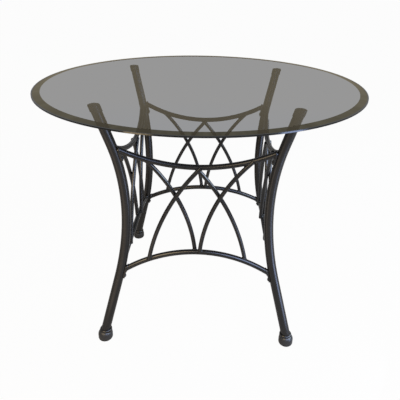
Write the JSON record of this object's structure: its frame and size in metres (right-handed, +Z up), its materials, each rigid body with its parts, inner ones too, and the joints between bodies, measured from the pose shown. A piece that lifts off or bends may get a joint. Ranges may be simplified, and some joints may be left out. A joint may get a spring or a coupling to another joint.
{
  "type": "round table",
  "caption": "Round dining table: a bevelled smoked glass disc lies on splayed black steel tube legs that are braced by lattice panels of crossing pointed arches.",
  "frame": {"origin": "on the floor, on the table's vertical axis", "axes": "+Z up, -Y towards the side that the picture shows from the front, +X to its right"},
  "size_m": [0.9999, 1, 0.765],
  "materials": {
    "smoked_glass": "polished grey-brown float glass with a ground and polished bevel",
    "black_enamel": "satin black enamel on steel, slightly uneven",
    "black_rubber": "moulded matt black rubber",
    "screw_steel": "blackened steel",
    "insert_steel": "zinc plated steel"
  },
  "bodies": {
    "base": {"front_top_rail": "black_enamel", "front_bottom_rail": "black_enamel", "front_arch_rod_left": "black_enamel", "front_arch_rod_right": "black_enamel", "front_hanging_arch_rod_left": "black_enamel", "front_hanging_arch_rod_right": "black_enamel", "front_tabs": "black_enamel", "front_screws": "screw_steel", "right_top_rail": "black_enamel", "right_bottom_rail": "black_enamel", "right_arch_rod_left": "black_enamel", "right_arch_rod_right": "black_enamel", "right_hanging_arch_rod_left": "black_enamel", "right_hanging_arch_rod_right": "black_enamel", "right_tabs": "black_enamel", "right_screws": "screw_steel", "back_top_rail": "black_enamel", "back_bottom_rail": "black_enamel", "back_arch_rod_left": "black_enamel", "back_arch_rod_right": "black_enamel", "back_hanging_arch_rod_left": "black_enamel", "back_hanging_arch_rod_right": "black_enamel", "back_tabs": "black_enamel", "back_screws": "screw_steel", "left_top_rail": "black_enamel", "left_bottom_rail": "black_enamel", "left_arch_rod_left": "black_enamel", "left_arch_rod_right": "black_enamel", "left_hanging_arch_rod_left": "black_enamel", "left_hanging_arch_rod_right": "black_enamel", "left_tabs": "black_enamel", "left_screws": "screw_steel", "leg_front_left": "black_enamel", "leg_cap_front_left": "black_rubber", "foot_collar_front_left": "black_enamel", "foot_cup_front_left": "black_rubber", "leg_inserts_front_left": "insert_steel", "leg_front_right": "black_enamel", "leg_cap_front_right": "black_rubber", "foot_collar_front_right": "black_enamel", "foot_cup_front_right": "black_rubber", "leg_inserts_front_right": "insert_steel", "leg_back_right": "black_enamel", "leg_cap_back_right": "black_rubber", "foot_collar_back_right": "black_enamel", "foot_cup_back_right": "black_rubber", "leg_inserts_back_right": "insert_steel", "leg_back_left": "black_enamel", "leg_cap_back_left": "black_rubber", "foot_collar_back_left": "black_enamel", "foot_cup_back_left": "black_rubber", "leg_inserts_back_left": "insert_steel"},
    "glass": {"glass_top": "smoked_glass"}
  },
  "joints": [
    {"name": "glass_lift", "type": "slide", "parent": "base", "child": "glass", "axis": [0, 0, 1], "range_m": [0, 0.3]}
  ]
}
